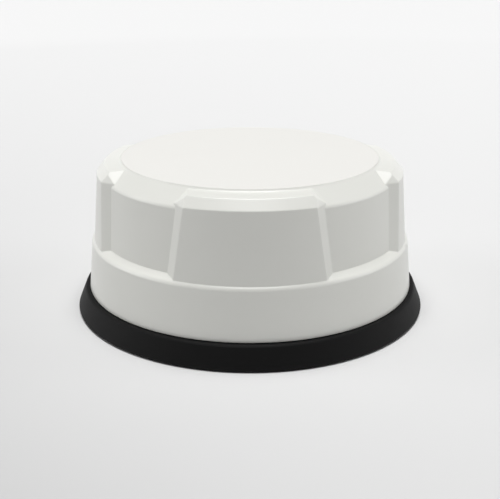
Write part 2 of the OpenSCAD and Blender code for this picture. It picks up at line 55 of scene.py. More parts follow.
Colour = Tuple[float, float, float]
Point2 = Tuple[float, float]
Span = Tuple[float, float]
Operand = Union["Value", float, int]
Setting = Union[str, int, float, bool]
NOTHING: Mapping = MappingProxyType({})


# Node trees


class Value:
    """One node socket that takes part in Python expressions."""

    def __init__(self, tree: "NodeTree", socket: bpy.types.NodeSocket) -> None:
        """Wraps a socket of a tree."""
        self.tree = tree
        self.socket = socket

    def math(self, operation: str, first: Operand, second: Operand = 0.0) -> "Value":
        """Adds a Math node to the socket's tree.

        Args:
            operation: The Math node's operation.
            first: Its first operand.
            second: Its second operand.

        Returns:
            The node's result.
        """
        return self.tree.node("ShaderNodeMath", {"operation": operation}, {0: first, 1: second})

    def __add__(self, other: Operand) -> "Value":
        """self + other."""
        return self.math("ADD", self, other)

    def __radd__(self, other: Operand) -> "Value":
        """other + self."""
        return self.math("ADD", other, self)

    def __sub__(self, other: Operand) -> "Value":
        """self - other."""
        return self.math("SUBTRACT", self, other)

    def __rsub__(self, other: Operand) -> "Value":
        """other - self."""
        return self.math("SUBTRACT", other, self)

    def __mul__(self, other: Operand) -> "Value":
        """self * other."""
        return self.math("MULTIPLY", self, other)

    def __rmul__(self, other: Operand) -> "Value":
        """other * self."""
        return self.math("MULTIPLY", other, self)

    def __truediv__(self, other: Operand) -> "Value":
        """self / other."""
        return self.math("DIVIDE", self, other)

    def __rtruediv__(self, other: Operand) -> "Value":
        """other / self."""
        return self.math("DIVIDE", other, self)

    def at_least(self, other: Operand) -> "Value":
        """The larger of self and other."""
        return self.math("MAXIMUM", self, other)

    def cosine(self) -> "Value":
        """The cosine of self, in radians."""
        return self.math("COSINE", self)

    def sine(self) -> "Value":
        """The sine of self, in radians."""
        return self.math("SINE", self)


class NodeTree:
    """A shader or geometry node tree, with one method that adds any node."""

    def __init__(self, tree: bpy.types.NodeTree) -> None:
        """Wraps Blender's own tree."""
        self.tree = tree

    def node(
        self,
        kind: str,
        settings: Mapping[str, Setting] = NOTHING,
        inputs: Mapping[Union[int, str], object] = NOTHING,
        output: Union[int, str] = 0,
    ) -> Value:
        """Adds one node.

        Args:
            kind: The node's type name.
            settings: Properties of the node, which are set first.
            inputs: A number, a vector or a Value for each socket, by name or index.
            output: The output to hand back, by name or index.

        Returns:
            The chosen output as a Value.
        """
        made = self.tree.nodes.new(kind)
        for name, value in settings.items():
            setattr(made, name, value)
        for key, value in inputs.items():
            self.feed(made.inputs[key], value)
        return Value(self, made.outputs[output])

    def feed(self, socket: bpy.types.NodeSocket, value: object) -> None:
        """Links a Value to a socket, or sets the socket to a plain value.

        Args:
            socket: The input socket.
            value: A Value, or what the socket is set to.
        """
        if isinstance(value, Value):
            self.tree.links.new(value.socket, socket)
        else:
            socket.default_value = value


class Shader(NodeTree):
    """A material's tree round one Principled shader."""

    def __init__(self, name: str) -> None:
        """Makes an empty material with its shader and output.

        Args:
            name: The material's name.
        """
        self.material = bpy.data.materials.new(name)
        self.material.use_nodes = True
        super().__init__(self.material.node_tree)
        self.tree.nodes.clear()
        self.principled = self.tree.nodes.new("ShaderNodeBsdfPrincipled")
        end = self.tree.nodes.new("ShaderNodeOutputMaterial")
        self.tree.links.new(self.principled.outputs[0], end.inputs["Surface"])

    def set(self, **sockets: object) -> None:
        """Feeds the shader's sockets.

        Args:
            **sockets: What each socket takes, by its name in lower case with underscores.
        """
        for name, value in sockets.items():
            socket = self.principled.inputs[name.replace("_", " ").title().replace("Ior", "IOR")]
            if isinstance(value, tuple) and len(value) == 3 and socket.type == "RGBA":
                value = (*value, 1.0)
            self.feed(socket, value)

    def place(self) -> Value:
        """The point on the object, in metres in the shared frame."""
        return self.node("ShaderNodeTexCoord", output="Object")

    def noise(self, size: float, detail: float = 2.0, stretch: Sequence[float] = (1, 1, 1)) -> Value:
        """Cloudy noise from about 0 to 1.

        Args:
            size: The size of its blotches, in metres.
            detail: How many finer layers it has.
            stretch: How much finer the pattern is along each axis.

        Returns:
            The noise as a Value.
        """
        point = self.node(
            "ShaderNodeMapping",
            {"vector_type": "POINT"},
            {"Vector": self.place(), "Scale": tuple(stretch)},
        )
        return self.node(
            "ShaderNodeTexNoise",
            {"noise_dimensions": "3D"},
            {"Vector": point, "Scale": 1 / size, "Detail": detail, "Roughness": 0.5},
        )

    def height(self) -> Value:
        """The point's height above the ground, in metres."""
        return self.node("ShaderNodeSeparateXYZ", {}, {0: self.place()}, output="Z")

    def ramp(self, value: Value, low: float, high: float) -> Value:
        """A smooth step.

        Args:
            value: What is compared.
            low: Where the step starts.
            high: Where it ends.

        Returns:
            0 below low, 1 above high, and a smooth curve between them.
        """
        return self.node(
            "ShaderNodeMapRange",
            {"interpolation_type": "SMOOTHSTEP"},
            {"Value": value, "From Min": low, "From Max": high},
        )

    def mix(self, first: Union[Colour, Value], second: Union[Colour, Value], share: Operand) -> Value:
        """A blend of two colours.

        Args:
            first: The colour where share is 0.
            second: The colour where share is 1.
            share: How far the blend is from first to second.

        Returns:
            The blended colour.
        """
        ends = [c if isinstance(c, Value) else (*c, 1.0) for c in (first, second)]
        return self.node(
            "ShaderNodeMix", {"data_type": "RGBA"}, {0: share, 6: ends[0], 7: ends[1]}, output=2
        )

    def bump(self, height: Value, depth: float, strength: float = 1.0) -> Value:
        """A normal that shows a height pattern.

        Args:
            height: The pattern, from 0 to 1.
            depth: How deep the pattern is, in metres.
            strength: How much of it shows.

        Returns:
            The bumped normal.
        """
        return self.node("ShaderNodeBump", {}, {"Height": height, "Distance": depth, "Strength": strength})


# Finishes


def shade(colour: Colour, by: float) -> Colour:
    """The colour made lighter or darker by a factor."""
    return (colour[0] * by, colour[1] * by, colour[2] * by)


@dataclass(frozen=True)
class Finish:
    """A named finish: the record's slot that it belongs to, its colour and its roughness."""

    name: str
    slot: str
    colour: Colour
    roughness: float

    def material(self) -> bpy.types.Material:
        """The finish's material, which is made on the first call.

        Returns:
            The one material that every piece in this finish shares.
        """
        found = bpy.data.materials.get(self.name)
        if found is None:
            shader = Shader(self.name)
            self.paint(shader)
            found = shader.material
        return found

    def paint(self, shader: Shader) -> None:
        """Fills the material in; each kind of finish has its own way.

        Args:
            shader: The material's tree.
        """
        raise NotImplementedError


@dataclass(frozen=True)
class MouldedPlastic(Finish):
    """Moulded plastic with a spark-eroded grain and a faint cloudiness."""

    grain: float = 0.32 * MM
    grain_depth: float = 0.008 * MM
    mottle: float = 0.03
    specular: float = 0.5

    def paint(self, shader: Shader) -> None:
        """Sets colour, roughness and grain.

        Args:
            shader: The material's tree.
        """
        cloud = shader.noise(24 * MM, 2)
        grain = shader.noise(self.grain, 3)
        pits = shader.noise(self.grain * 0.4, 1)
        shader.set(
            base_color=shader.mix(shade(self.colour, 1 - self.mottle), self.colour, cloud),
            roughness=self.roughness + 0.08 * (grain - 0.5),
            specular_ior_level=self.specular,
            normal=shader.bump(grain + 0.35 * pits, self.grain_depth),
        )


@dataclass(frozen=True)
class Rubber(Finish):
    """Matte rubber, a little dusty where it is near the ground."""

    dust: Colour = (0.09, 0.088, 0.084)
    dust_height: float = 1.6 * MM
    specular: float = 0.3

    def paint(self, shader: Shader) -> None:
        """Sets colour, roughness and grain.

        Args:
            shader: The material's tree.
        """
        cloud = shader.noise(9 * MM, 3)
        grain = shader.noise(0.28 * MM, 2)
        low = 1 - shader.ramp(shader.height(), 0.0, self.dust_height)
        shader.set(
            base_color=shader.mix(
                shader.mix(shade(self.colour, 0.88), self.colour, cloud), self.dust, low * cloud * 0.22
            ),
            roughness=self.roughness + 0.1 * (cloud - 0.5),
            specular_ior_level=self.specular,
            normal=shader.bump(grain, 0.014 * MM),
        )


class Stock(Enum):
    """The way a metal surface was made."""

    TURNED = (1.0, 1.0, 22.0)
    SHEET = (1.0, 14.0, 1.0)
    CAST = (1.0, 1.0, 1.0)


@dataclass(frozen=True)
class Metal(Finish):
    """Bare metal with the marks of its making and a little tarnish."""

    stock: Stock = Stock.TURNED
    tarnish: Colour = (0.35, 0.3, 0.25)

    def paint(self, shader: Shader) -> None:
        """Sets colour, roughness and tool marks.

        Args:
            shader: The material's tree.
        """
        marks = shader.noise(1.2 * MM, 3, self.stock.value)
        cloud = shader.noise(6 * MM, 2)
        old = shader.ramp(cloud, 0.5, 0.9)
        shader.set(
            base_color=shader.mix(self.colour, self.tarnish, old * 0.25),
            metallic=1.0,
            roughness=self.roughness + 0.18 * (marks - 0.5) + 0.1 * old,
            normal=shader.bump(marks, 0.006 * MM),
        )


@dataclass(frozen=True)
class CircuitBoard(Finish):
    """Solder mask over copper tracks, with bare pads."""

    copper: Colour = (0.04, 0.27, 0.12)
    pad: Colour = (0.75, 0.6, 0.32)

    def paint(self, shader: Shader) -> None:
        """Sets colour, roughness and the tracks' relief.

        Args:
            shader: The material's tree.
        """
        tracks = shader.node(
            "ShaderNodeTexBrick",
            {"offset": 0.37, "squash": 0.8, "squash_frequency": 3},
            {"Vector": shader.place(), "Scale": 420.0, "Mortar Size": 0.09, "Mortar Smooth": 0.2},
            output="Fac",
        )
        spots = shader.node(
            "ShaderNodeTexVoronoi", {"feature": "F1"}, {"Vector": shader.place(), "Scale": 260.0}
        )
        pads = 1 - shader.ramp(spots, 0.16, 0.19)
        shader.set(
            base_color=shader.mix(shader.mix(self.colour, self.copper, tracks), self.pad, pads),
            metallic=pads * 0.9,
            roughness=self.roughness + 0.15 * tracks,
            coat_weight=0.3,
            normal=shader.bump(tracks, 0.03 * MM),
        )


@dataclass(frozen=True)
class Fired(Finish):
    """Unglazed ceramic, slightly speckled."""

    def paint(self, shader: Shader) -> None:
        """Sets colour, roughness and grain.

        Args:
            shader: The material's tree.
        """
        speckle = shader.ramp(shader.noise(0.6 * MM, 2), 0.62, 0.7)
        grain = shader.noise(0.4 * MM, 3)
        shader.set(
            base_color=shader.mix(self.colour, shade(self.colour, 0.6), speckle * 0.4),
            roughness=self.roughness + 0.1 * (grain - 0.5),
            normal=shader.bump(grain, 0.02 * MM),
        )


@dataclass(frozen=True)
class Gloss(Finish):
    """Smooth film, sleeve or clear moulding with faint waves."""

    alpha: float = 1.0
    wave: float = 3 * MM

    def paint(self, shader: Shader) -> None:
        """Sets colour, roughness, transparency and waves.

        Args:
            shader: The material's tree.
        """
        waves = shader.noise(self.wave, 1)
        shader.set(
            base_color=shader.mix(shade(self.colour, 0.92), self.colour, waves),
            roughness=self.roughness + 0.06 * (waves - 0.5),
            alpha=self.alpha,
            normal=shader.bump(waves, 0.04 * MM),
        )


@dataclass(frozen=True)
class Foam(Finish):
    """Closed-cell foam or felted membrane."""

    cell: float = 0.5 * MM

    def paint(self, shader: Shader) -> None:
        """Sets colour, roughness and cells, with painted shade at the centre of each cell.

        Args:
            shader: The material's tree.
        """
        cells = shader.node(
            "ShaderNodeTexVoronoi", {"feature": "F1"}, {"Vector": shader.place(), "Scale": 1 / self.cell}
        )
        # Painted shade: each cell is darker at its centre, where the bump sinks a pit.
        shader.set(
            base_color=shader.mix(shade(self.colour, 0.6), self.colour, shader.ramp(cells, 0.1, 0.6)),
            roughness=self.roughness + 0.05 * cells,
            normal=shader.bump(cells, 0.1 * MM),
        )


RADOME_WHITE = MouldedPlastic("radome_white", "shell_plastic", (0.765, 0.767, 0.727), 0.3)
# The disc's colour is a little warmer than the shell's: painted warm light from overhead on the crown.
DISC_WHITE = MouldedPlastic(
    "disc_white", "disc_plastic", (0.765, 0.757, 0.727), 0.46, grain_depth=0.006 * MM, mottle=0.015
)
HOUSING_BLACK = MouldedPlastic(
    "housing_black", "base_plastic", (0.02, 0.02, 0.021), 0.55, grain=0.5 * MM, mottle=0.12
)
NYLON_BLACK = MouldedPlastic("nylon_black", "black_plastic", (0.03, 0.03, 0.03), 0.5, mottle=0.1)
NYLON_WHITE = MouldedPlastic("nylon_white", "white_plastic", (0.78, 0.76, 0.68), 0.45)
BUMPER_BLACK = Rubber(
    "bumper_black", "bumper_rubber", (0.0045, 0.0045, 0.0046), 0.62, dust=(0.02, 0.02, 0.02), specular=0.16
)
SEAL_BLACK = Rubber("seal_black", "seal_rubber", (0.016, 0.016, 0.016), 0.5)
BUTTON_RED = Rubber("button_red", "button_rubber", (0.32, 0.018, 0.014), 0.55, dust=(0.3, 0.05, 0.04))
RED_SLEEVE = Rubber("red_sleeve", "red_sleeve", (0.45, 0.02, 0.02), 0.45)
BROWN_SLEEVE = Rubber("brown_sleeve", "brown_sleeve", (0.18, 0.09, 0.045), 0.45)
BRASS = Metal("brass", "brass", (0.72, 0.52, 0.24), 0.32)
STEEL = Metal("steel", "steel", (0.6, 0.6, 0.61), 0.34, tarnish=(0.4, 0.38, 0.36))
TIN = Metal("tin_plate", "tin_plate", (0.68, 0.69, 0.7), 0.38, stock=Stock.SHEET, tarnish=(0.5, 0.5, 0.5))
ALUMINIUM = Metal(
    "aluminium", "aluminium", (0.74, 0.75, 0.76), 0.42, stock=Stock.CAST, tarnish=(0.55, 0.55, 0.56)
)
BOARD_GREEN = CircuitBoard("board_green", "board", (0.012, 0.14, 0.055), 0.35)
CERAMIC = Fired("patch_ceramic", "ceramic", (0.78, 0.71, 0.58), 0.6)
CELL_BLUE = Gloss("cell_blue", "cell_sleeve", (0.05, 0.2, 0.42), 0.22)
AMBER_FILM = Gloss("amber_film", "amber_film", (0.6, 0.28, 0.05), 0.2)
CLEAR_GUIDE = Gloss("clear_guide", "light_guide", (0.82, 0.9, 0.93), 0.12, alpha=0.85)
LED_RESIN = Gloss("led_resin", "led", (0.93, 0.9, 0.62), 0.2)
PAD_FOAM = Foam("pad_foam", "foam", (0.08, 0.08, 0.085), 0.85)
MEMBRANE = Foam("membrane_felt", "membrane", (0.8, 0.8, 0.8), 0.8, cell=0.12 * MM)


# Meshes


def make_object(name: str, mesh: bpy.types.Mesh, finish: Finish) -> bpy.types.Object:
    """Puts a mesh in the scene with one finish.

    Args:
        name: The piece's name.
        mesh: Its final mesh, in metres, in the shared frame.
        finish: Its finish.

    Returns:
        The new object.
    """
    mesh.materials.clear()
    mesh.materials.append(finish.material())
    mesh.polygons.foreach_set("use_smooth", [True] * len(mesh.polygons))
    mesh.set_sharp_from_angle(angle=SHARP_ANGLE)
    piece = bpy.data.objects.new(name, mesh)
    bpy.context.scene.collection.objects.link(piece)
    return piece


def place_piece(piece: bpy.types.Object, body: str, finish: Finish, *nodes: str) -> bpy.types.Object:
    """Ties a piece to the frame and reports it.

    Args:
        piece: The finished piece.
        body: The body that it rides on.
        finish: Not used.
        *nodes: The CAD nodes that it stands for.

    Returns:
        The same piece.
    """
    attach(piece, body)
    if nodes:
        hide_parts(*nodes)
    LOG.info("%s rides on %s, %d faces", piece.name, body, len(piece.data.polygons))
    return piece


def skin(name: str, rows: Sequence[np.ndarray]) -> bpy.types.Mesh:
    """Closes rings of points into one skin, whose first and last rings are single points.

    Args:
        name: The mesh's name.
        rows: Rings of points in millimetres, each an array of the same length by 3.

    Returns:
        The closed mesh, in metres, with its faces outwards.
    """
    count = len(rows[0])
    points = [rows[0][:1], *rows[1:-1], rows[-1][:1]]
    verts = np.concatenate(points) * MM
    last = len(verts) - 1
    here = np.arange(count)
    after = (here + 1) % count
    faces = [(0, 1 + a, 1 + b) for a, b in zip(here, after)]
    for row in range(len(rows) - 3):
        low, high = 1 + row * count, 1 + (row + 1) * count
        faces += [(low + a, high + a, high + b, low + b) for a, b in zip(here, after)]
    rim = last - count
    faces += [(rim + a, last, rim + b) for a, b in zip(here, after)]
    mesh = bpy.data.meshes.new(name)
    mesh.from_pydata(verts.tolist(), [], [tuple(int(i) for i in face) for face in faces])
    if signed_volume(mesh) < 0:
        mesh.flip_normals()
    mesh.update()
    return mesh


def signed_volume(mesh: bpy.types.Mesh) -> float:
    """The volume that a closed mesh holds.

    Args:
        mesh: The closed mesh.

    Returns:
        The volume in cubic metres, negative where the faces point inwards.
    """
    mesh.calc_loop_triangles()
    verts = np.empty(len(mesh.vertices) * 3)
    mesh.vertices.foreach_get("co", verts)
    corners = np.empty(len(mesh.loop_triangles) * 3, dtype=np.int32)
    mesh.loop_triangles.foreach_get("vertices", corners)
    a, b, c = verts.reshape(-1, 3)[corners.reshape(-1, 3)].transpose(1, 0, 2)
    return float(np.einsum("ij,ij->i", a, np.cross(b, c)).sum() / 6)


def ring(radius: Union[float, np.ndarray], z: Union[float, np.ndarray], azimuth: np.ndarray) -> np.ndarray:
    """Points at a radius and a height, one for each azimuth in radians."""
    shape = np.ones_like(azimuth)
    return np.stack([radius * np.cos(azimuth), radius * np.sin(azimuth), z * shape], axis=1)


def arc(centre: Point2, radius: float, start: float, end: float, steps: int) -> List[Point2]:
    """Points (r, z) along an arc, from start to end in degrees."""
    turns = np.radians(np.linspace(start, end, steps + 1))
    return [(centre[0] + radius * math.cos(t), centre[1] + radius * math.sin(t)) for t in turns]


def lathe(name: str, outline: Sequence[Point2], segments: int) -> bpy.types.Mesh:
    """Turns an outline of (r, z) points, which starts and ends on the axis, into a closed mesh."""
    azimuth = np.linspace(0, 2 * math.pi, segments, endpoint=False)
    return skin(name, [ring(r, z, azimuth) for r, z in outline])


class ShapeTree(NodeTree):
    """A Geometry Nodes tree that runs once and leaves a plain mesh."""

    def __init__(self, name: str) -> None:
        """Makes a tree with an input node and an output node.

        Args:
            name: The tree's name.
        """
        group = bpy.data.node_groups.new(name, "GeometryNodeTree")
        super().__init__(group)
        group.interface.new_socket("Geometry", in_out="OUTPUT", socket_type="NodeSocketGeometry")
        self.entry = group.nodes.new("NodeGroupInput")
        self.exit = group.nodes.new("NodeGroupOutput")
        self.values = {}

    def size(self, name: str, value: Union[float, int]) -> Value:
        """Adds a named input to the tree.

        Args:
            name: The input's name.
            value: What the modifier sets it to: metres, radians, or a count.

        Returns:
            The input as a Value.
        """
        kind = "NodeSocketInt" if isinstance(value, int) else "NodeSocketFloat"
        item = self.tree.interface.new_socket(name, in_out="INPUT", socket_type=kind)
        self.values[item.identifier] = value
        return Value(self, next(s for s in self.entry.outputs if s.identifier == item.identifier))

    def vector(self, x: Operand = 0.0, y: Operand = 0.0, z: Operand = 0.0) -> Value:
        """A vector of three values."""
        return self.node("ShaderNodeCombineXYZ", {}, {0: x, 1: y, 2: z})

    def move(self, geometry: Value, x: Operand = 0.0, y: Operand = 0.0, z: Operand = 0.0) -> Value:
        """Moves geometry.

        Args:
            geometry: What is moved.
            x: How far along X, in metres.
            y: How far along Y.
            z: How far along Z.

        Returns:
            The moved geometry.
        """
        return self.node(
            "GeometryNodeTransform", {}, {"Geometry": geometry, "Translation": self.vector(x, y, z)}
        )

    def switch(self, index: Value, number: int, other: Value, here: Value) -> Value:
        """Chooses a vector by the point's number.

        Args:
            index: The point's index.
            number: The index that is looked for.
            other: The vector at every other point.
            here: The vector at the point with that index.

        Returns:
            The chosen vector.
        """
        found = self.node(
            "FunctionNodeCompare", {"data_type": "INT", "operation": "EQUAL"}, {2: index, 3: number}
        )
        return self.node(
            "GeometryNodeSwitch",
            {"input_type": "VECTOR"},
            {"Switch": found, "False": other, "True": here},
        )

    def cylinder(self, radius: Operand, low: Value, high: Value, vertices: int = 48) -> Value:
        """A closed cylinder on the Z axis.

        Args:
            radius: Its radius.
            low: The height of its lower face.
            high: The height of its upper face.
            vertices: How many sides it has.

        Returns:
            The cylinder's geometry.
        """
        solid = self.node(
            "GeometryNodeMeshCylinder",
            {},
            {"Vertices": vertices, "Radius": radius, "Depth": high - low},
        )
        return self.move(solid, z=(low + high) * 0.5)

    def join(self, *parts: Value) -> Value:
        """Several geometries as one.

        Args:
            *parts: The geometries.

        Returns:
            The joined geometry.
        """
        joined = self.tree.nodes.new("GeometryNodeJoinGeometry")
        for part in parts:
            self.tree.links.new(part.socket, joined.inputs[0])
        return Value(self, joined.outputs[0])

    def solid(self, operation: str, *parts: Value) -> Value:
        """Combines closed solids.

        Args:
            operation: UNION, or DIFFERENCE for the first solid less the others.
            *parts: The solids.

        Returns:
            The combined solid.
        """
        made = self.tree.nodes.new("GeometryNodeMeshBoolean")
        made.operation = operation
        made.solver = "EXACT"
        rest = list(parts)
        if operation == "DIFFERENCE":
            self.tree.links.new(rest.pop(0).socket, made.inputs["Mesh 1"])
        for part in rest:
            self.tree.links.new(part.socket, made.inputs["Mesh 2"])
        return Value(self, made.outputs["Mesh"])

    def round_circle(self, shape: Value, count: Value, radius: Value, turn: Value) -> Value:
        """Copies of a shape on a circle, each turned to face outwards.

        Args:
            shape: The shape, whose own +X points outwards.
            count: How many there are.
            radius: The circle's radius.
            turn: The first one's azimuth, in radians.

        Returns:
            The instances.
        """
        points = self.node(
            "GeometryNodeMeshLine", {"mode": "OFFSET"}, {"Count": count, "Offset": (0, 0, 0)}
        )
        index = self.node("GeometryNodeInputIndex")
        azimuth = turn + index * (2 * math.pi) / count
        place = self.vector(radius * azimuth.cosine(), radius * azimuth.sine())
        placed = self.node("GeometryNodeSetPosition", {}, {"Geometry": points, "Position": place})
        return self.node(
            "GeometryNodeInstanceOnPoints",
            {},
            {"Points": placed, "Instance": shape, "Rotation": self.vector(z=azimuth)},
        )

    def bake(self, name: str, geometry: Value, finish: Finish) -> bpy.types.Object:
        """Ends the tree, runs it and keeps its result as a plain mesh.

        Args:
            name: The piece's name.
            geometry: What the tree makes.
            finish: The finish that it sets.

        Returns:
            The piece's object, with no modifier left on it.
        """
        real = self.node("GeometryNodeRealizeInstances", {}, {"Geometry": geometry})
        dressed = self.node(
            "GeometryNodeSetMaterial", {}, {"Geometry": real, "Material": finish.material()}
        )
        self.tree.links.new(dressed.socket, self.exit.inputs[0])
        carrier = bpy.data.objects.new(name + ".tree", bpy.data.meshes.new(name + ".tree"))
        bpy.context.scene.collection.objects.link(carrier)
        modifier = carrier.modifiers.new(name, "NODES")
        modifier.node_group = self.tree
        for identifier, value in self.values.items():
            modifier[identifier] = value
        graph = bpy.context.evaluated_depsgraph_get()
        mesh = bpy.data.meshes.new_from_object(carrier.evaluated_get(graph))
        carrier.modifiers.clear()
        bpy.data.objects.remove(carrier)
        mesh.name = name
        return make_object(name, mesh, finish)


# Sub-assemblies


@dataclass(frozen=True)
class Radome:
    """The white radome: a moulded shell with four pads, and the disc in its crown.

    Sizes are in millimetres. Outlines are (r, z) points; a pad's trimming planes are (direction
    in plan from the pad's centre line, tilt above the horizontal, distance from the origin).
    The skin is found along rays: a fan of them from one point for the crown, and level ones from
    wall_axis for the wall. Azimuths are closest together over a pad's flank, given in degrees.
    """

    rim: Point2 = (72.0, 10.0)
    band_top: Point2 = (69.9, 31.25)
    hollow_foot: Point2 = (66.1, 33.3)
    hollow_top: Point2 = (63.5, 59.7)
    crown_edge: Point2 = (55.7, 66.5)
    pad_foot: Point2 = (68.9, 31.25)
    pad_brow: Point2 = (66.4, 60.9)
    pad_crown: Point2 = (62.9, 64.8)
    pad_heel: Point2 = (56.7, 65.63)
    pad_planes: Tuple[Tuple[float, float, float], ...] = (
        (58.2, 8.1, 61.9),
        (57.5, 28.0, 76.5),
        (83.0, 49.4, 69.3),
    )
    pad_count: int = 4
    wall: float = 2.6
    rim_round: float = 0.15
    band_round: float = 0.9
    brow_round: float = 0.6
    pad_round: float = 0.12
    corner_round: float = 0.12
    disc_radius: float = 55.8
    disc_thickness: float = 1.2
    disc_round: float = 0.1
    disc_gap: float = 0.03
    groove: float = 0.12
    groove_depth: float = 0.17
    boss_count: int = 8
    boss_circle: float = 62.0
    boss_turn: float = 22.5
    boss_radius: float = 4.0
    boss_bore: float = 1.7
    boss_foot: float = 9.2
    boss_top: float = 27.0
    boss_depth: float = 11.0
    rib: Tuple[float, float, float] = (6.4, 2.4, 10.0)
    lip_round: float = 0.1
    fan: Point2 = (55.5, 57.0)
    fan_end: float = 84.5
    fan_rays: int = 78
    wall_axis: float = 50.0
    ray_length: float = 30.0
    halvings: int = 36
    flank: Span = (21.0, 30.5)

    @staticmethod
    def beyond(r: np.ndarray, z: np.ndarray, start: Point2, end: Point2) -> np.ndarray:
        """How far points lie outside a sloping wall.

        Args:
            r: Each point's radius.
            z: Its height.
            start: The wall's lower end, as (r, z).
            end: Its upper end.

        Returns:
            A distance in millimetres, negative inside.
        """
        run, rise = end[0] - start[0], end[1] - start[1]
        length = math.hypot(run, rise)
        return ((r - start[0]) * rise - (z - start[1]) * run) / length

    @staticmethod
    def meet(distances: Iterable[np.ndarray], radius: float) -> np.ndarray:
        """The solid that lies inside several surfaces, with rounded edges.

        Args:
            distances: How far points lie outside each surface.
            radius: The edges' radius.

        Returns:
            How far the points lie outside the solid.
        """
        stack = np.stack(list(distances))
        corner = np.sqrt((np.clip(stack + radius, 0, None) ** 2).sum(axis=0))
        return np.minimum(-radius, stack.max(axis=0)) + corner

    @staticmethod
    def merge(first: np.ndarray, second: np.ndarray, radius: float) -> np.ndarray:
        """Two solids as one, with a fillet of a radius where they meet."""
        corner = np.hypot(np.clip(radius - first, 0, None), np.clip(radius - second, 0, None))
        return np.maximum(radius, np.minimum(first, second)) - corner

    def outside(self, azimuth: np.ndarray, r: np.ndarray, z: np.ndarray) -> np.ndarray:
        """How far points lie outside the radome's outer surface.

        Args:
            azimuth: Each point's azimuth, in radians.
            r: Its radius.
            z: Its height.

        Returns:
            A distance in millimetres, negative inside.
        """
        step = 2 * math.pi / self.pad_count
        turn = np.abs((azimuth + step / 2) % step - step / 2)
        forward, sideways = r * np.cos(turn), r * np.sin(turn)
        lower = self.meet(
            [
                self.beyond(r, z, self.rim, self.band_top),
                self.beyond(r, z, self.band_top, self.hollow_foot),
            ],
            self.band_round,
        )
        upper = self.meet(
            [
                self.beyond(r, z, self.hollow_foot, self.hollow_top),
                self.beyond(r, z, self.hollow_top, self.crown_edge),
            ],
            self.brow_round,
        )
        pad = [
            self.beyond(r, z, self.pad_foot, self.pad_brow),
            self.beyond(r, z, self.pad_brow, self.pad_crown),
            self.beyond(r, z, self.pad_crown, self.pad_heel),
        ]
        for plan, tilt, distance in self.pad_planes:
            level, lift = math.cos(math.radians(tilt)), math.sin(math.radians(tilt))
            pad.append(
                forward * math.cos(math.radians(plan)) * level
                + sideways * math.sin(math.radians(plan)) * level
                + z * lift
                - distance
            )
        body = self.merge(lower, upper, self.corner_round)
        return self.merge(body, self.meet(pad, self.pad_round), self.corner_round)

    def cast(self, azimuth: np.ndarray, origin: Point2, tilt: float) -> np.ndarray:
        """The points where rays from inside meet the outer surface.

        Args:
            azimuth: The rays' azimuths, in radians.
            origin: Where they start, as (r, z).
            tilt: How far they point upwards, in radians.

        Returns:
            One point for each azimuth.
        """
        near = np.zeros_like(azimuth)
        far = np.full_like(azimuth, self.ray_length)
        for _ in range(self.halvings):
            middle = (near + far) / 2
            out = self.outside(
                azimuth, origin[0] + middle * math.cos(tilt), origin[1] + middle * math.sin(tilt)
            )
            near = np.where(out < 0, middle, near)
            far = np.where(out < 0, far, middle)
        return ring(origin[0] + near * math.cos(tilt), origin[1] + near * math.sin(tilt), azimuth)

    def azimuths(self) -> np.ndarray:
        """Azimuths round the radome, close together at the pads' sides.

        Returns:
            The azimuths in radians, from the first pad's centre line.
        """
        pitch = 360 / self.pad_count
        near, far = self.flank
        half = np.concatenate(
            [
                np.linspace(0, near, 14)[:-1],
                np.linspace(near, far, 44)[:-1],
                np.linspace(far, pitch / 2, 10),
            ]
        )
        period = np.concatenate([half, pitch - half[-2:0:-1]])
        turns = [period + pitch * k for k in range(self.pad_count)]
        return np.radians(np.concatenate(turns))

    def shell_rows(self, azimuth: np.ndarray) -> List[np.ndarray]:
        """Rings of points from the disc's seat, over the outside and up the cavity.

        Args:
            azimuth: The azimuth of each point in a ring, in radians.

        Returns:
            The rings, of which the first and the last lie on the axis.
        """
        seat_z = self.crown_edge[1] - self.disc_thickness
        groove_r = self.disc_radius + self.groove
        heights = np.concatenate(
            [
                np.linspace(self.rim[1] + self.rim_round, 29.5, 12),
                np.linspace(29.7, 34.5, 26),
                np.linspace(35.5, 56.5, 18),
            ]
        )
        gap_r, groove_z = self.disc_radius + self.disc_gap, self.crown_edge[1] - self.groove_depth
        seat = [(0, seat_z), (gap_r, seat_z), (gap_r, groove_z), (groove_r, groove_z)]
        rows = [ring(r, z, azimuth) for r, z in seat]
        lip = arc((groove_r + self.lip_round, groove_z + self.lip_round / 2), self.lip_round, 180, 110, 3)
        rows += [ring(r, z, azimuth) for r, z in lip]
        tilts = np.linspace(math.radians(self.fan_end), 0, self.fan_rays)
        rows += [self.cast(azimuth, self.fan, tilt) for tilt in tilts]
        rows += [self.cast(azimuth, (self.wall_axis, z), 0.0) for z in heights[::-1]]
        edge = rows[-1][:, :2]
        for turn in np.radians([22, 45, 68, 90]):
            inset = self.rim_round * (1 - math.cos(turn))
            shrink = 1 - inset / np.hypot(edge[:, :1], edge[:, 1:])
            z = self.rim[1] + self.rim_round * (1 - math.sin(turn))
            rows.append(np.hstack([edge * shrink, np.full((len(edge), 1), z)]))
        corners = (self.band_top, self.hollow_foot, self.hollow_top, self.crown_edge)
        cavity = [(self.rim[0] - self.wall, self.rim[1])]
        cavity += [(r - self.wall, z - self.wall) for r, z in corners]
        cavity.append((0.0, self.crown_edge[1] - self.wall))
        return rows + [ring(r, z, azimuth) for r, z in cavity]

    def build_shell(self) -> bpy.types.Object:
        """The moulded shell."""
        mesh = skin("radome", self.shell_rows(self.azimuths()))
        return place_piece(make_object("radome", mesh, RADOME_WHITE), BODY, RADOME_WHITE, "top_shell")

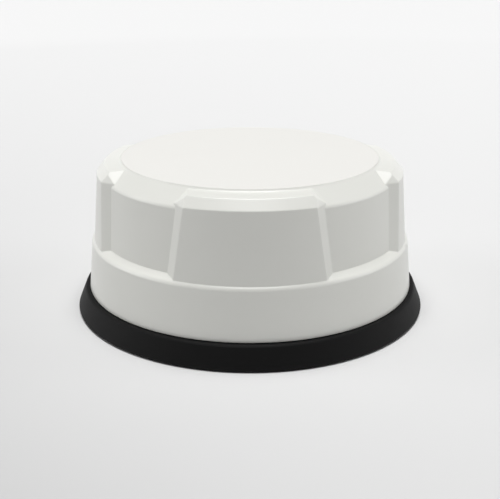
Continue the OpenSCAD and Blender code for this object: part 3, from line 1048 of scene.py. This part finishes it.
    def build_bosses(self) -> bpy.types.Object:
        """The screw bosses inside the shell, with the ribs that carry them.

        Returns:
            The piece, which stands beside the shell.
        """
        tree = ShapeTree("screw_bosses")
        foot, top = tree.size("Foot", self.boss_foot * MM), tree.size("Top", self.boss_top * MM)
        radius, bore = tree.size("Radius", self.boss_radius * MM), tree.size("Bore", self.boss_bore * MM)
        post = tree.cylinder(radius, foot, top)
        rib = tree.node("GeometryNodeMeshCube", {}, {"Size": tuple(side * MM for side in self.rib)})
        whole = tree.solid("UNION", post, tree.move(rib, x=radius * 0.85, z=top - 5.2 * MM))
        drill = tree.cylinder(bore, foot - 1 * MM, foot + self.boss_depth * MM)
        drilled = tree.solid("DIFFERENCE", whole, drill)
        placed = tree.round_circle(
            drilled,
            tree.size("Count", self.boss_count),
            tree.size("Circle", self.boss_circle * MM),
            tree.size("Turn", math.radians(self.boss_turn)),
        )
        return place_piece(tree.bake("radome_bosses", placed, RADOME_WHITE), BODY, RADOME_WHITE)

    def build_disc(self) -> bpy.types.Object:
        """The disc in the crown, with its top edge rounded.

        Returns:
            The piece that stands for the CAD disc.
        """
        top, soft = self.crown_edge[1], self.disc_round
        edge = arc((self.disc_radius - soft, top - soft), soft, 90, 0, 5)
        outline = [(0, top), *[(r, top) for r in (30, 50, 54.6)], *edge]
        outline += [(self.disc_radius, top - self.disc_thickness), (0, top - self.disc_thickness)]
        disc = make_object("crown_disc", lathe("crown_disc", outline, 256), DISC_WHITE)
        return place_piece(disc, BODY, DISC_WHITE, "top_disc")

    def build(self) -> None:
        """Makes the radome's pieces."""
        self.build_shell()
        self.build_bosses()
        self.build_disc()


@dataclass(frozen=True)
class Bumper:
    """The black ring that the receiver stands on, swept round a circle.

    Sizes are in millimetres. The outline is (r, z, edge radius) corners, going round.
    """

    outline: Tuple[Tuple[float, float, float], ...] = (
        (71.0, 2.4, 0.0),
        (71.0, 9.7, 0.15),
        (73.6, 9.7, 0.5),
        (74.2, 9.0, 0.5),
        (77.5, 0.8, 0.35),
        (76.7, 0.0, 0.35),
        (66.0, 0.0, 0.4),
        (66.0, 2.4, 0.2),
    )
    path_radius: float = 70.0
    segments: int = 256
    steps: int = 4

    def build(self) -> bpy.types.Object:
        """Sweeps the ring's outline round a circle.

        Returns:
            The piece that stands for the CAD ring.
        """
        tree = ShapeTree("bumper_ring")
        path_radius = tree.size("Path radius", self.path_radius * MM)
        index = tree.node("GeometryNodeInputIndex")
        place, soft = tree.vector(), tree.vector()
        for k, (r, z, edge) in enumerate(self.outline):
            radius = tree.size(f"Corner {k} radius", r * MM)
            height = tree.size(f"Corner {k} height", z * MM)
            turn = tree.size(f"Corner {k} edge", edge * MM)
            place = tree.switch(index, k, place, tree.vector(radius - path_radius, 0.0 - height))
            soft = tree.switch(index, k, soft, tree.vector(turn))
        corners = tree.node(
            "GeometryNodeCurvePrimitiveCircle", {"mode": "RADIUS"}, {"Resolution": len(self.outline)}
        )
        polygon = tree.node("GeometryNodeSetPosition", {}, {"Geometry": corners, "Position": place})
        rounded = tree.node(
            "GeometryNodeFilletCurve",
            {"mode": "POLY"},
            {
                "Curve": polygon,
                "Count": tree.size("Edge steps", self.steps),
                "Radius": tree.node("ShaderNodeSeparateXYZ", {}, {0: soft}),
                "Limit Radius": True,
            },
        )
        path = tree.node(
            "GeometryNodeCurvePrimitiveCircle",
            {"mode": "RADIUS"},
            {"Resolution": tree.size("Segments", self.segments), "Radius": path_radius},
        )
        swept = tree.node("GeometryNodeCurveToMesh", {}, {"Curve": path, "Profile Curve": rounded})
        bumper = tree.bake("bumper", swept, BUMPER_BLACK)
        return place_piece(bumper, BODY, BUMPER_BLACK, "bumper_ring")


@dataclass(frozen=True)
class Underside:
    """What the base carries underneath: screws, the pole socket and the power button.

    Sizes are in millimetres. A screw head's crown is a cone, given as its face's share of the
    head's radius and its own share of the head's height. The drive's lobe is given as the radius
    between two lobes and the roundness of each, both as shares of the drive's radius.
    """

    screw_count: int = 8
    screw_circle: float = 62.0
    screw_turn: float = 22.5
    screw_seat: float = 6.6
    head_radius: float = 2.8
    head_height: float = 2.4
    shank_radius: float = 1.48
    shank_length: float = 11.0
    drive_radius: float = 1.35
    head_crown: Span = (0.78, 0.35)
    head_rim: float = 0.66
    lobe: Span = (0.68, 0.25)
    socket_face: float = 0.5
    socket_flange: Point2 = (13.0, 3.0)
    socket_body: Point2 = (11.0, 23.0)
    thread_major: float = 7.94
    thread_depth: float = 1.2
    thread_pitch: float = 25.4 / 11
    thread_end: float = 20.5
    thread_steps: int = 12
    mouth_chamfer: float = 0.8
    button_y: float = -44.0
    button_radius: float = 5.5
    button_face: float = 3.5
    button_flange: Tuple[float, float, float] = (7.0, 7.3, 8.2)

    def build_screws(self) -> bpy.types.Object:
        """The eight screws, with a six-lobed drive in each head.

        Returns:
            The piece that stands for the CAD screws.
        """
        tree = ShapeTree("housing_screws")
        seat = tree.size("Seat", self.screw_seat * MM)
        head_r = tree.size("Head radius", self.head_radius * MM)
        head_h = tree.size("Head height", self.head_height * MM)
        drive = tree.size("Drive radius", self.drive_radius * MM)
        shank_r = tree.size("Shank radius", self.shank_radius * MM)
        shank_len = tree.size("Shank length", self.shank_length * MM)
        face_share, crown_share = self.head_crown
        valley, lobe_round = self.lobe
        crown = tree.node(
            "GeometryNodeMeshCone",
            {},
            {
                "Vertices": 40,
                "Radius Top": head_r,
                "Radius Bottom": head_r * face_share,
                "Depth": head_h * crown_share,
            },
        )
        crown = tree.move(crown, z=seat - head_h)
        head = tree.cylinder(head_r, seat - head_h * self.head_rim, seat, 40)
        star = tree.node(
            "GeometryNodeCurveStar",
            {},
            {"Points": 6, "Inner Radius": drive * valley, "Outer Radius": drive},
        )
        lobes = tree.node(
            "GeometryNodeFilletCurve",
            {"mode": "POLY"},
            {"Curve": star, "Count": 3, "Radius": drive * lobe_round},
        )
        face = tree.node("GeometryNodeFillCurve", {}, {"Curve": lobes})
        wall = tree.node(
            "GeometryNodeExtrudeMesh",
            {"mode": "FACES"},
            {"Mesh": face, "Offset": (0, 0, 1), "Offset Scale": head_h * 1.1, "Individual": False},
        )
        cutter = tree.join(wall, tree.node("GeometryNodeFlipFaces", {}, {"Mesh": face}))
        cutter = tree.node("GeometryNodeMergeByDistance", {}, {"Geometry": cutter, "Distance": 0.002 * MM})
        cutter = tree.move(cutter, z=seat - head_h * 1.7)
        shank = tree.cylinder(shank_r, seat - 0.3 * MM, seat + shank_len, 24)
        whole = tree.solid("DIFFERENCE", tree.solid("UNION", crown, head, shank), cutter)
        placed = tree.round_circle(
            whole,
            tree.size("Count", self.screw_count),
            tree.size("Circle", self.screw_circle * MM),
            tree.size("Turn", math.radians(self.screw_turn)),
        )
        return place_piece(tree.bake("screw_set", placed, STEEL), BODY, STEEL, "housing_screws")

    def build_socket(self) -> bpy.types.Object:
        """The brass pole socket, with its thread cut in the bore.

        Returns:
            The piece that stands for the CAD socket.
        """
        azimuth = np.linspace(0, 2 * math.pi, 72, endpoint=False)
        face, soft = self.socket_face, 0.4
        flange_r, flange_z = self.socket_flange
        body_r, body_z = self.socket_body
        mouth = self.thread_major + self.mouth_chamfer
        outline = [
            (0, body_z),
            *arc((body_r - soft, body_z - soft), soft, 90, 0, 3),
            (body_r, flange_z),
            *arc((flange_r - soft, flange_z - soft), soft, 90, 0, 3),
            *arc((flange_r - soft, face + soft), soft, 0, -90, 3),
            (mouth, face),
        ]
        rows = [ring(r, z, azimuth) for r, z in outline]
        steps = int((self.thread_end - face) / self.thread_pitch * self.thread_steps)
        for z in np.linspace(face + self.mouth_chamfer, self.thread_end, steps):
            phase = (z / self.thread_pitch - azimuth / (2 * math.pi)) % 1
            crest = np.clip(1.25 * (1 - np.abs(2 * phase - 1)) - 0.125, 0, 1)
            fade = min(1.0, (z - face) / self.thread_pitch, (self.thread_end - z) / self.thread_pitch)
            rows.append(ring(self.thread_major - self.thread_depth * crest * max(fade, 0), z, azimuth))
        rows.append(ring(0, self.thread_end, azimuth))
        socket = make_object("pole_socket", skin("pole_socket", rows), BRASS)
        return place_piece(socket, BODY, BRASS, "pole_insert")

    def build_button(self) -> bpy.types.Object:
        """The power button: a dished cap on a flange that keeps it in the base.

        Returns:
            The piece, which rides on the button's own body.
        """
        cap, face, soft = self.button_radius, self.button_face, 0.5
        flange_r, flange_low, flange_top = self.button_flange
        outline = [(0, flange_top), (flange_r - 0.2, flange_top), (flange_r, flange_top - 0.2)]
        outline += [(flange_r, flange_low), (cap, flange_low)]
        outline += arc((cap - soft, face + soft), soft, 0, -90, 4)
        outline += [(cap - 1.0, face), (cap - 1.3, face + 0.18), (2.5, face + 0.34), (0, face + 0.4)]
        mesh = lathe("button_cap", outline, 96)
        mesh.transform(shift(0, self.button_y * MM, 0))
        button = make_object("button_cap", mesh, BUTTON_RED)
        return place_piece(button, "power_button", BUTTON_RED, "power_button")

    def build(self) -> None:
        """Makes the pieces under the base."""
        self.build_screws()
        self.build_socket()
        self.build_button()


def shift(x: float, y: float, z: float) -> Matrix:
    """A move by x, y and z, in metres."""
    return Matrix.Translation(Vector((x, y, z)))


@dataclass(frozen=True)
class Interior:
    """The pieces that keep their CAD shape, and the finish that each one has."""

    dress: Tuple[Tuple[Finish, Tuple[str, ...]], ...] = (
        (HOUSING_BLACK, ("base_housing", "port_cover")),
        (SEAL_BLACK, ("housing_seal", "port_seal")),
        (BRASS, ("shell_inserts", "board_standoffs", "antenna_spacers", "feed_pins", "lead_plugs")),
        (
            STEEL,
            ("keypad_screws", "port_screws", "frame_screws", "board_screws", "antenna_screws", "cover_pin"),
        ),
        (STEEL, ("charging_port",)),
        (NYLON_BLACK, ("vent_plug", "power_switch", "battery_cradle")),
        (NYLON_WHITE, ("battery_plug", "ribbon_sockets", "patch_screw", "wireless_antenna")),
        (BOARD_GREEN, ("main_board", "keypad_board", "port_board", "amplifier_board")),
        (TIN, ("gnss_module", "wireless_module", "power_shield", "cell_link")),
        (ALUMINIUM, ("mid_frame", "ground_plane")),
        (CERAMIC, ("lower_patch", "upper_patch")),
        (CELL_BLUE, ("battery_cells",)),
        (AMBER_FILM, ("keypad_ribbon", "port_ribbon")),
        (CLEAR_GUIDE, ("light_pipes",)),
        (LED_RESIN, ("status_leds",)),
        (PAD_FOAM, ("battery_pads",)),
        (MEMBRANE, ("vent_membrane",)),
        (RED_SLEEVE, ("battery_lead",)),
        (BROWN_SLEEVE, ("antenna_lead",)),
    )

    def build(self) -> None:
        """Puts each finish on its nodes."""
        for finish, names in self.dress:
            for name in names:
                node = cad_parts[name]
                for slot in node.material_slots:
                    slot.material = finish.material()
                LOG.info("%s keeps its shape, in %s", name, finish.name)


# Studio


@dataclass(frozen=True)
class Lamp:
    """A far, soft light: where it stands, its strength and how wide it looks.

    Angles are in degrees, and the azimuth is 0 at the front and grows to the right.
    """

    name: str
    azimuth: float
    elevation: float
    strength: float
    width: float

    def build(self) -> None:
        """Adds the light."""
        light = bpy.data.lights.new(self.name, "SUN")
        light.energy = self.strength
        light.angle = math.radians(self.width)
        turn, tilt = math.radians(self.azimuth), math.radians(self.elevation)
        away = Vector((math.sin(turn) * math.cos(tilt), -math.cos(turn) * math.cos(tilt), math.sin(tilt)))
        lamp = bpy.data.objects.new(self.name, light)
        lamp.location = away
        lamp.rotation_euler = (-away).to_track_quat("-Z", "Y").to_euler()
        bpy.context.scene.collection.objects.link(lamp)


@dataclass(frozen=True)
class Studio:
    """A pale floor, one wide light overhead, a glow along the horizon and the camera.

    Distances are in metres, angles in degrees. The floor's colour brightens from near to far along a line
    that is turned by fade_turn, from fade_start in front of the object and over about
    fade_length: painted shade, darker towards the front and the left. Past the first radius in
    fade_edge it brightens on every side, up to fade_limit, as painted light that meets the horizon.
    """

    aim: Tuple[float, float, float] = (0.0, 0.0, 0.02225)
    distance: float = 0.4092
    elevation: float = 19.745
    lens: float = 65.0
    floor_radius: float = 60.0
    # Painted shade: the floor's colour in front of the object, darker than floor_far.
    floor_near_painted_shade: Colour = (0.53, 0.53, 0.53)
    floor_far: Colour = (0.77, 0.77, 0.77)
    fade_start: float = 0.227
    fade_length: float = 0.185
    fade_turn: float = 39.8
    fade_edge: Span = (0.25, 1.1)
    fade_limit: float = 0.92
    lamps: Tuple[Lamp, ...] = (
        Lamp("overhead", 0.0, 89.5, 3.22, 36.0),
        Lamp("key_left", -95.0, 24.0, 0.5, 30.0),
        Lamp("key_right", 95.0, 24.0, 0.37, 30.0),
    )
    horizon: float = 0.92
    zenith: float = 0.04
    front: float = 0.1
    glow_top: Span = (0.42, 0.2)
    glow_front: Span = (-0.95, -0.35)
    glow_foot: Span = (0.06, 0.03)

    def build_floor(self) -> None:
        """The pale floor, with painted shade that makes it darker towards the front and the left."""
        azimuth = np.linspace(0, 2 * math.pi, 96, endpoint=False)
        verts = ring(self.floor_radius, -0.0002, azimuth)
        mesh = bpy.data.meshes.new("floor")
        mesh.from_pydata(verts.tolist(), [], [tuple(range(len(verts)))])
        floor = bpy.data.objects.new("floor", mesh)
        bpy.context.scene.collection.objects.link(floor)
        shader = Shader("floor_paper")
        turn = math.radians(self.fade_turn)
        stretch = 1 / math.cos(turn)
        along = shader.node(
            "ShaderNodeVectorMath",
            {"operation": "DOT_PRODUCT"},
            {0: shader.place(), 1: (math.sin(turn) * stretch, 1.0, 0.0)},
            output="Value",
        )
        past = (along + self.fade_start).at_least(0.0)
        away = shader.node("ShaderNodeVectorMath", {"operation": "LENGTH"}, {0: shader.place()}, "Value")
        share = past / (past + self.fade_length)
        share = share.at_least(shader.ramp(away, *self.fade_edge) * self.fade_limit)
        # Painted shade and light: the floor's colour darkens towards the front and the left and brightens
        # far away.
        shader.set(
            base_color=shader.mix(self.floor_near_painted_shade, self.floor_far, share),
            roughness=0.95,
            specular_ior_level=0.0,
        )
        mesh.materials.append(shader.material)

    def build_sky(self) -> None:
        """The room round the object: bright along the horizon, dim above and behind the camera."""
        world = bpy.data.worlds.new("room")
        world.use_nodes = True
        sky = NodeTree(world.node_tree)
        way = sky.node("ShaderNodeTexCoord", output="Generated")
        ahead = sky.node("ShaderNodeSeparateXYZ", {}, {0: way}, output="Y")
        up = sky.node("ShaderNodeSeparateXYZ", {}, {0: way}, output="Z")
        band, side, edge = [
            sky.node(
                "ShaderNodeMapRange",
                {"interpolation_type": "SMOOTHSTEP"},
                {"Value": value, "From Min": low, "From Max": high},
            )
            for value, (low, high) in ((up, self.glow_top), (ahead, self.glow_front), (up, self.glow_foot))
        ]
        wide = band * (self.front + (1 - self.front) * side)
        glow = (self.horizon - self.zenith) * wide.at_least(edge)
        sky.feed(world.node_tree.nodes["Background"].inputs["Strength"], self.zenith + glow)
        sky.feed(world.node_tree.nodes["Background"].inputs["Color"], (1.0, 1.0, 1.0, 1.0))
        bpy.context.scene.world = world
        bpy.context.scene.view_settings.view_transform = "Standard"

    def build_camera(self) -> None:
        """The camera, straight in front and a little above."""
        tilt = math.radians(self.elevation)
        away = Vector((0.0, -math.cos(tilt), math.sin(tilt)))
        lens = bpy.data.cameras.new("camera")
        lens.lens = self.lens
        lens.sensor_width = 36.0
        lens.clip_start = 0.01
        lens.clip_end = 200.0
        camera = bpy.data.objects.new("camera", lens)
        camera.location = Vector(self.aim) + away * self.distance
        camera.rotation_euler = (-away).to_track_quat("-Z", "Y").to_euler()
        bpy.context.scene.collection.objects.link(camera)
        bpy.context.scene.camera = camera

    def build(self) -> None:
        """Sets the studio up."""
        self.build_camera()
        self.build_floor()
        self.build_sky()
        for lamp in self.lamps:
            lamp.build()


def main() -> None:
    """Builds the studio and the receiver."""
    logging.basicConfig(level=logging.INFO, format="%(name)s: %(message)s")
    for part in (Studio(), Radome(), Bumper(), Underside(), Interior()):
        LOG.info("building %s", type(part).__name__.lower())
        part.build()


if __name__ == "__main__":
    main()
